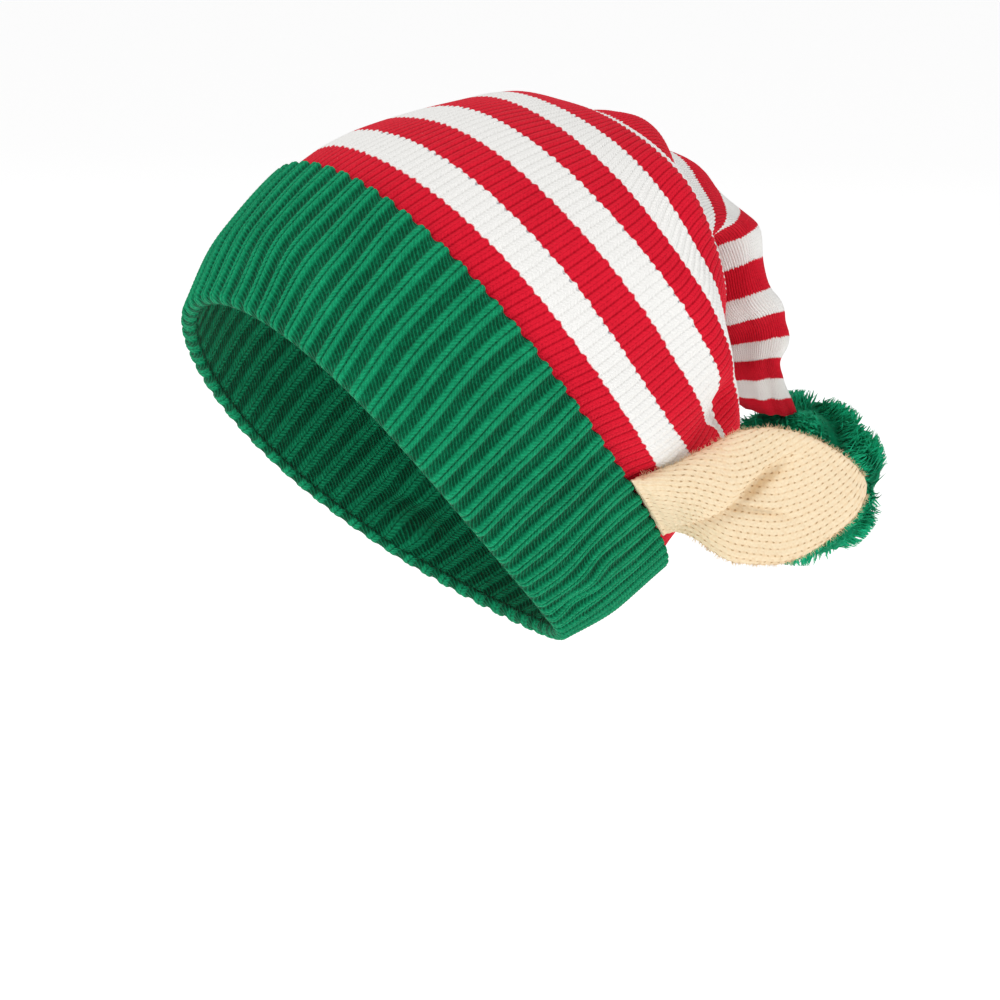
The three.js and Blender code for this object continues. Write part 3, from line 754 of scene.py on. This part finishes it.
# The ears
def add_strands(skin, path, thick, side, other, u, v):
    """Thin three-sided tubes: at each point of each path a triangle of radius thick, spanned by the
    directions side and other, joined from ring to ring and closed at both ends."""
    turn = np.arange(3) / 3 * TAU
    ring = side[:, None, None, :] * np.cos(turn)[:, None] + other[:, None, None, :] * np.sin(turn)[:, None]
    ids = skin.block(path[:, :, None, :] + ring * thick[:, :, None, None])
    after = (np.arange(3) + 1) % 3
    low, high = ids[:, :-1], ids[:, 1:]
    faces = np.stack((low, low[..., after], high[..., after], high), axis=-1).reshape(-1, 4)
    u = np.broadcast_to(u[:, None, None], low.shape)
    v_low, v_high = (np.broadcast_to(part[..., None], low.shape) for part in (v[:, :-1], v[:, 1:]))
    marks = np.stack([np.stack((u, level), -1) for level in (v_low, v_low, v_high, v_high)], axis=-2)
    skin.add(faces, marks.reshape(-1, 4, 2))
    for row, order in ((0, slice(None, None, -1)), (-1, slice(None))):
        caps = ids[:, row, :][:, order]
        skin.add(caps, np.stack(np.broadcast_arrays(u[:, 0, :], v[:, row, None]), -1))


# The left ear's own directions: towards its tip, up over its flap, and out from the hat
EAR_TOWARDS = unit(np.array((0.47, 0.87, 0.11)))
EAR_UP = unit(np.cross((0.86, -0.47, 0.15), EAR_TOWARDS))
EAR_OUT = np.cross(EAR_TOWARDS, EAR_UP)
EAR_STITCH = 2.6  # width of a wale and height of a course


def closed_curve(controls, count):
    """A closed Catmull-Rom curve through control points on the last axis but one, count points to each."""
    t = (np.arange(count) / count)[:, None]
    before, here, after, beyond = (np.roll(controls, k, axis=-2)[..., :, None, :] for k in (1, 0, -1, -2))
    curve = 0.5 * (
        2 * here
        + (after - before) * t
        + (2 * before - 5 * here + 4 * after - beyond) * t**2
        + (3 * here - before - 3 * after + beyond) * t**3
    )
    return curve.reshape(controls.shape[:-2] + (-1, controls.shape[-1]))


def ear_point(along, up, out):
    """A point of the left ear: on the crown beside the lip at its root, peeling off into a flat leaf."""
    stripe = CUFF_TOP + (CLEARANCE + along) / STRIPE_HEIGHT
    angle = math.radians(EAR_AROUND) - 2 * up / HEAD_DEPTH
    above = CLEARANCE + EAR_THICKNESS / 2 + out - under_lip(stripe)
    on_crown = form(stripe, angle, -above)
    root = form(np.array(CUFF_TOP), np.array(math.radians(EAR_AROUND)), -EAR_THICKNESS / 2)
    leaf = root + along[..., None] * EAR_TOWARDS + up[..., None] * EAR_UP + out[..., None] * EAR_OUT
    share = smoothstep(along / EAR_PEEL)[..., None]
    return on_crown * (1 - share) + leaf * share


PER_CONTROL = 14  # points of a section for each of its control points
TOP_CONTROL = 9  # the control point at the ear's upper edge; the first one is at its lower edge
EAR_BODY_ROWS, EAR_TIP_ROWS, EAR_TIP_FROM = 190, 20, 0.95
EDGE_HAIRS = 1200
HAIR_RADIUS = 0.085


def mixed(a, b, t):
    """The value a share t of the way from a to b."""
    return a + (b - a) * t


def ear_section(along, top, bottom, fold, lift):
    """One closed section for each share along: lower sheet, rolled flap and back. Gives its points as
    up and out."""
    half = EAR_THICKNESS / 2 * np.sqrt(np.maximum(1.04 - along**6, 0.04))
    half = half * (0.4 + 0.6 * smoothstep(along / 0.06))
    rise = lift * FLAP_LIFT
    section = (
        (bottom, 0 * half),
        (mixed(bottom, fold, 0.12), half * 0.8),
        (mixed(bottom, fold, 0.5), half),
        (fold + FLAP_EDGE * (1.6 * lift - 0.6), half),
        (fold - FLAP_EDGE * 0.6 * lift, half + rise * 0.45),
        (fold + FLAP_EDGE * (0.6 + 0.6 * lift), half + rise),
        (mixed(fold, top, 0.4), half + rise),
        (mixed(fold, top, 0.75), half + rise * 0.7),
        (mixed(fold, top, 0.95), half * 0.7 + rise * 0.35),
        (top, 0 * half),
        (mixed(top, bottom, 0.06), -half * 0.8),
        (mixed(top, bottom, 0.35), -half),
        (mixed(top, bottom, 0.7), -half),
        (mixed(top, bottom, 0.95), -half * 0.8),
    )
    controls = np.stack([np.stack(point, axis=-1) for point in section], axis=1)
    return closed_curve(controls, PER_CONTROL)


def ear_hollow(length, up, bottom, fold, fade):
    """How deep the lower sheet lies, in mm: a bell-shaped hollow under the flap, a crease that runs
    across it, and swellings beside the crease and along the lower edge."""
    run_on = (length - 31) / 18
    hollow = 4.2 * bell(length - 43, 10) * bell(up - fold + 3.4, 3.0)
    hollow = hollow + 2.6 * bell(up + 1.5 + 6 * run_on, 1.5) * bell(run_on - 0.5, 0.62)
    hollow = hollow - 1.3 * bell(up - 1.4 + 5 * run_on, 1.8) * bell(run_on - 0.5, 0.6)
    return hollow - 0.7 * bell(up - bottom - 3.5, 2.2) * fade


def add_edge_hairs(skin, points, out, mirror):
    """Short fibres that stand off the two edges of an ear, each bent sideways by the square of its way."""
    draw = np.random.default_rng(41)
    at_edge = np.where(draw.random(EDGE_HAIRS) < 0.5, 0, TOP_CONTROL * PER_CONTROL)
    edge = at_edge + draw.normal(0, 5, EDGE_HAIRS)
    rows = draw.integers(12, len(points), EDGE_HAIRS)
    place = (rows, np.round(edge).astype(int) % points.shape[1])
    away = unit(out[place] + draw.normal(0, 0.55, (EDGE_HAIRS, 3)))
    beside = unit(np.cross(away, draw.normal(0, 1, (EDGE_HAIRS, 3))))
    reach = draw.uniform(0.6, 2.2, EDGE_HAIRS)[:, None] * np.array((0.0, 0.5, 1.0))
    hairs = points[place][:, None, :] + away[:, None, :] * reach[..., None]
    hairs = hairs + beside[:, None, :] * (reach**2 * 0.2)[..., None]
    hairs, away, beside = hairs * mirror, away * mirror, beside * mirror
    thick = np.broadcast_to(HAIR_RADIUS * np.array((1.0, 0.8, 0.3)), reach.shape)
    tone = np.full(EDGE_HAIRS, 0.5)
    add_strands(skin, hairs, thick, beside, np.cross(away, beside), tone, np.full(reach.shape, 0.25))


def ear_piece(name, side, material, node):
    """One ear: a closed section of lower sheet, rolled flap and back, carried from the root to the tip."""
    skin = Skin()
    tip_rows = 1 - (1 - EAR_TIP_FROM) * (1 - np.linspace(0, 1, EAR_TIP_ROWS)[1:]) ** 1.6
    along = np.concatenate((np.linspace(0, EAR_TIP_FROM, EAR_BODY_ROWS), tip_rows))
    top, bottom, fold = (column(EAR_ROWS, k, along) * EAR_HEIGHT for k in (1, 2, 3))
    lift = np.clip(column(EAR_ROWS, 4, along), 0, 1)
    curve = ear_section(along, top, bottom, fold, lift)
    closed = np.concatenate((curve, curve[:, :1]), axis=1)
    steps = np.linalg.norm(np.diff(closed, axis=1), axis=2)
    run = np.concatenate((np.zeros((len(along), 1)), np.cumsum(steps, axis=1)), axis=1)
    length = along[:, None] * EAR_LENGTH + 0 * curve[..., 0]
    sheet = np.arange(curve.shape[1]) / PER_CONTROL
    lower = (smoothstep(sheet / 0.6) * smoothstep((3.2 - sheet) / 0.5))[None, :]
    fade = smoothstep((0.85 - along[:, None]) / 0.3)
    hollow = ear_hollow(length, curve[..., 0], bottom[:, None], fold[:, None], fade)
    points = ear_point(length, curve[..., 0], curve[..., 1] - hollow * lower)
    out = -normals(points)
    u = run / EAR_STITCH
    v = np.repeat((along * EAR_LENGTH / EAR_STITCH)[:, None], closed.shape[1], axis=1)
    lanes = np.abs(np.sin(math.pi * u[:, :-1])) * 0.28 + 0.1 * np.sin(TAU * v[:, :-1])
    points = points + out * (lanes * smoothstep((1 - along[:, None]) / 0.04))[..., None]
    mirror = np.array((side, 1, 1))
    add_edge_hairs(skin, points, out, mirror)
    ids = skin.block(points * mirror)
    if side > 0:
        ids, u, v = ids[:, ::-1], u[:, ::-1], v[:, ::-1]
        ids = np.roll(ids, 1, axis=1)
    skin.quads(ids, u, v)
    for row, flip, beyond in ((0, True, 0.0), (-1, False, EAR_THICKNESS / 6)):
        tip = skin.middle(ids[row]) + EAR_TOWARDS * mirror * beyond
        marks = np.stack((u[row], v[row]), axis=1)
        skin.fan(ids[row], tip, marks, marks[:-1], flip)
    return skin.piece(name, material, "beige_knit", node)


# The pompom
STRANDS = 6800
STRAND_RADIUS = 0.62
STRAND_ROOT = 0.74 * POMPOM_RADIUS
STRAND_LIMIT = 1.04 * POMPOM_RADIUS
STRAND_SWEEP = 6.5  # how far a strand's end is combed sideways
STRAND_WAVE = 1.1
TUFTS = 30
SETTLE = 1.5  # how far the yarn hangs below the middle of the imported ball
GOLDEN_ANGLE = math.pi * (3 - math.sqrt(5))
GOLDEN_SHARE = 0.618  # gives neighbouring strands tones that differ


def pompom_middle():
    """Below the tail's tip, along the way that the pompom hangs."""
    ring = form(np.full(40, TIP_AT), np.arange(40) / 40 * TAU)
    hang = math.radians(POMPOM_HANG)
    reach = POMPOM_RADIUS - TIP_SINK
    way = np.array((0, math.cos(hang), -math.sin(hang)))
    return ring.mean(axis=0) + way * reach - np.array((0, 0, SETTLE))


def spiral(count):
    """Even directions over a ball: heights in equal steps, each turned on by the golden angle."""
    k = np.arange(count) + 0.5
    height = 1 - 2 * k / count
    turn = GOLDEN_ANGLE * k
    flat = np.sqrt(1 - height**2)
    return np.stack((flat * np.cos(turn), flat * np.sin(turn), height), axis=1)


TUFT_WAYS = unit(spiral(TUFTS) + np.random.default_rng(21).normal(0, 0.13, (TUFTS, 3)))


def in_tuft(ways):
    """The nearest tuft of each direction, and how near its middle it lies, from 0 to 1."""
    turned = ways @ TUFT_WAYS.T
    return np.argmax(turned, axis=-1), smoothstep((turned.max(axis=-1) - 0.9) / 0.1)


def pompom_piece(material):
    """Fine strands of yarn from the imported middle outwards. Each leans the way that its tuft is combed,
    by its way out to the power of 1.5, and waves sideways by a sine."""
    draw = np.random.default_rng(22)
    skin = Skin()
    ways = unit(spiral(STRANDS) + draw.normal(0, 0.02, (STRANDS, 3)))
    tuft, close = in_tuft(ways)
    combed = draw.normal(0, 1, (TUFTS, 3))
    combed = unit(combed - TUFT_WAYS * np.sum(combed * TUFT_WAYS, axis=1, keepdims=True))[tuft]
    combed = combed + (TUFT_WAYS[tuft] - ways) * 2.4 + draw.normal(0, 0.35, ways.shape)
    longer = draw.uniform(-1.5, 0.8, STRANDS) + draw.exponential(0.35, STRANDS)
    reach = POMPOM_RADIUS * (0.95 + 0.06 * close) + longer
    side = unit(np.cross(ways, draw.normal(0, 1, ways.shape)))
    other = np.cross(ways, side)
    out = np.array((0.0, 0.35, 0.7, 1.0))
    wide = np.array((1.0, 1.0, 0.75, 0.15))
    path = ways[:, None, :] * (STRAND_ROOT + (reach[:, None] - STRAND_ROOT) * out)[..., None]
    phase = draw.uniform(0, TAU, STRANDS)[:, None]
    path = path + combed[:, None, :] * (out**1.5 * STRAND_SWEEP)[None, :, None]
    path = path + side[:, None, :] * (np.sin(phase + out * 4.0) * out * STRAND_WAVE)[..., None]
    length = np.linalg.norm(path, axis=-1, keepdims=True)
    path = path * np.minimum(1, STRAND_LIMIT / length)
    thick = STRAND_RADIUS * draw.uniform(0.7, 1.3, STRANDS)[:, None] * wide
    tone = (np.arange(STRANDS) * GOLDEN_SHARE) % 1
    # v runs from root to tip and towards each tuft's middle, for the yarn's painted shade: darker deep in the
    # ball and between tufts
    add_strands(skin, path + pompom_middle(), thick, side, other, tone, out * 0.6 + close[:, None] * 0.4)
    return skin.piece("pompom_yarn", material, "green_yarn", "pompom")


CORE_RINGS = 120


def core_piece(material):
    """The pompom's packed middle, a ball in rings of latitude that swells in each tuft, with fine
    furrows, closed at its poles."""
    skin = Skin()
    tall = np.linspace(0, math.pi, CORE_RINGS + 2)[1:-1, None]
    turn = np.arange(2 * CORE_RINGS) / (2 * CORE_RINGS) * TAU
    flat = np.sin(tall)
    ball = np.stack((flat * np.cos(turn), flat * np.sin(turn), np.cos(tall) + 0 * turn), axis=-1)
    close = in_tuft(ball)[1]
    furrows = waves(31, ball[..., 0] * 45, ball[..., 1] * 45, ball[..., 2] * 45)
    radius = POMPOM_RADIUS * (0.83 + 0.1 * close) + 0.5 * furrows
    ids = skin.block(pompom_middle() + ball * radius[..., None])[:, ::-1]
    # shade: the core's painted shade, darker in the furrows and between the tufts
    shade = (close * 0.5 + furrows * 0.1)[:, ::-1]
    shade = np.concatenate((shade, shade[:, :1]), axis=1)
    skin.quads(ids, 0.5, shade)
    for row, way in ((0, 1), (-1, -1)):
        middle = np.array((0, 0, way * radius[row].mean()))
        flat_marks = np.zeros((len(ids[row]) + 1, 2))
        skin.fan(ids[row], pompom_middle() + middle, flat_marks, flat_marks[:-1], flip=way > 0)
    return skin.piece("pompom_core", material, "green_yarn")


yarn = yarn_finish()
beige = beige_finish()
cuff_piece(green_rib_finish())
crown_piece(striped_finish())
ear_piece("ear_left_knit", 1, beige, "ear_left")
ear_piece("ear_right_knit", -1, beige, "ear_right")
pompom_piece(yarn)
core_piece(yarn)


# Floor, light and camera
FLOOR_AT = -0.34  # the hat is held up at the height at which it is worn, well above the floor
FLOOR_HALF = 8
floor_mesh = bpy.data.meshes.new("floor")
floor_corners = [(x * FLOOR_HALF, y * FLOOR_HALF, FLOOR_AT) for x, y in ((-1, -1), (1, -1), (1, 1), (-1, 1))]
floor_mesh.from_pydata(floor_corners, [], [(0, 1, 2, 3)])
floor = bpy.data.objects.new("floor", floor_mesh)
bpy.context.scene.collection.objects.link(floor)
floor_finish = Finish(
    "floor_paint",
    Base_Color=(0.93, 0.93, 0.93, 1),
    Roughness=0.9,
    Emission_Color=(1, 1, 1, 1),
    Emission_Strength=0.42,
)
floor_mesh.materials.append(floor_finish.material)


def area_light(name, place, aim, size, power):
    """A square soft light at a place, turned to shine at a point."""
    data = bpy.data.lights.new(name, "AREA")
    data.shape, data.size, data.energy = "SQUARE", size, power
    light = bpy.data.objects.new(name, data)
    light.location = place
    light.rotation_euler = (Vector(aim) - Vector(place)).to_track_quat("-Z", "Y").to_euler()
    bpy.context.scene.collection.objects.link(light)


HAT_MIDDLE = (0, 0.06, 0.03)
area_light("key", (0.5, -1.4, 1.5), HAT_MIDDLE, 1.0, 14)
area_light("fill", (1.9, 0.9, 0.5), HAT_MIDDLE, 1.6, 7)
area_light("back", (-1.4, 1.2, 1.4), HAT_MIDDLE, 1.6, 7)

world = bpy.data.worlds.new("studio")
world.use_nodes = True
# The backdrop is seen pure white, and lights the hat a little less
sky = world.node_tree.nodes["Background"]
seen = world.node_tree.nodes.new("ShaderNodeLightPath").outputs["Is Camera Ray"]
level = world.node_tree.nodes.new("ShaderNodeMapRange")
SKY_ON_HAT, SKY_SEEN = 0.58, 1.0
level.inputs["To Min"].default_value, level.inputs["To Max"].default_value = SKY_ON_HAT, SKY_SEEN
world.node_tree.links.new(seen, level.inputs["Value"])
world.node_tree.links.new(level.outputs["Result"], sky.inputs["Strength"])
sky.inputs["Color"].default_value = (1, 1, 1, 1)
bpy.context.scene.world = world
bpy.context.scene.view_settings.view_transform = "Standard"

# The photo's view: 60 degrees round from the forehead towards the left ear, 13 degrees up, 1.5 m away
VIEW_ROUND, VIEW_UP, VIEW_FAR = math.radians(60), math.radians(13), 1.5
PICTURE_SIDE = 1000  # points
MIDDLE_X, MIDDLE_Y = 383.3, 474.3  # where the origin lies in the picture, in points
POINTS_PER_METRE = 2600  # at the origin
SENSOR = 36  # millimetres
camera = bpy.data.objects.new("camera", bpy.data.cameras.new("camera"))
camera.location = (
    VIEW_FAR * math.sin(VIEW_ROUND) * math.cos(VIEW_UP),
    -VIEW_FAR * math.cos(VIEW_ROUND) * math.cos(VIEW_UP),
    VIEW_FAR * math.sin(VIEW_UP),
)
camera.rotation_euler = (math.pi / 2 - VIEW_UP, 0, VIEW_ROUND)
camera.data.sensor_width = SENSOR
camera.data.lens = SENSOR * VIEW_FAR * POINTS_PER_METRE / PICTURE_SIDE
camera.data.shift_x = 0.5 - MIDDLE_X / PICTURE_SIDE
camera.data.shift_y = MIDDLE_Y / PICTURE_SIDE - 0.5
bpy.context.scene.collection.objects.link(camera)
bpy.context.scene.camera = camera
